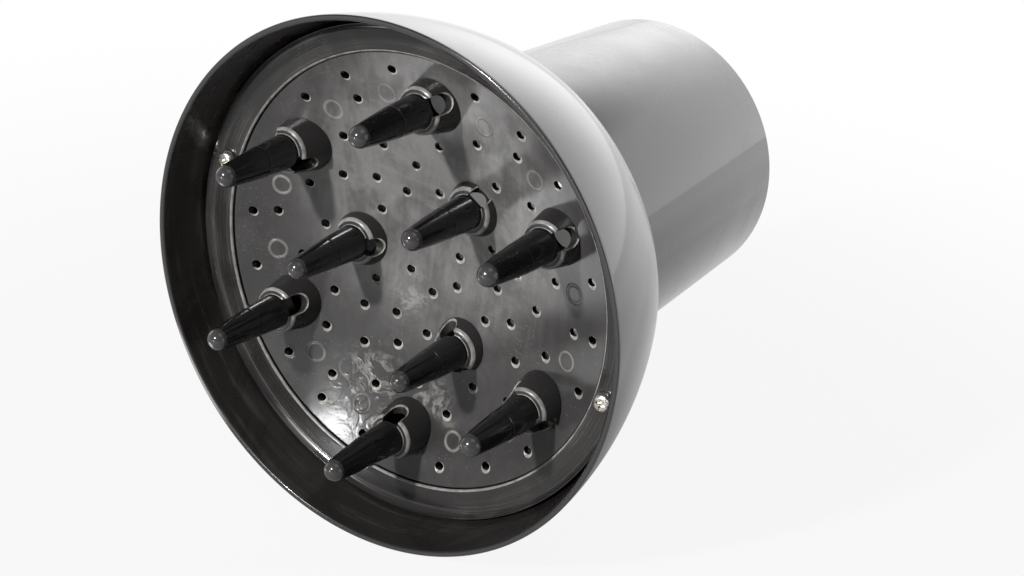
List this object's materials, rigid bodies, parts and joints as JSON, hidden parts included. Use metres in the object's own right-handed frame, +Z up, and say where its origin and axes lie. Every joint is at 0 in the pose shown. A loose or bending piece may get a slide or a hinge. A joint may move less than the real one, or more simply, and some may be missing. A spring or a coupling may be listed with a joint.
{
  "type": "hair dryer diffuser",
  "caption": "Black diffuser attachment for a hair dryer: a wide bell on a tapered collar, with a perforated dish of hollow fingers clamped by a ring and screws.",
  "frame": {"origin": "centre of the collar's open end, where the dryer's nozzle enters", "axes": "+Y along the common axis from the mouth back to the dryer, so the mouth faces -Y; +Z up, through an outer finger; +X to the right seen from the mouth"},
  "size_m": [0.1598, 0.1683, 0.1598],
  "materials": {
    "black_plastic": "moulded black plastic, polished, with fine scuffs",
    "chromed_steel": "bright plated screw heads"
  },
  "bodies": {
    "root": {"bell_shell": "black_plastic", "collar_tube": "black_plastic", "clamp_ring": "black_plastic", "finger_plate": "black_plastic", "outer_finger_1": "black_plastic", "outer_finger_2": "black_plastic", "outer_finger_3": "black_plastic", "outer_finger_4": "black_plastic", "outer_finger_5": "black_plastic", "outer_finger_6": "black_plastic", "inner_finger_1": "black_plastic", "inner_finger_2": "black_plastic", "inner_finger_3": "black_plastic", "plate_screw_1": "chromed_steel", "plate_screw_2": "chromed_steel"}
  },
  "joints": []
}
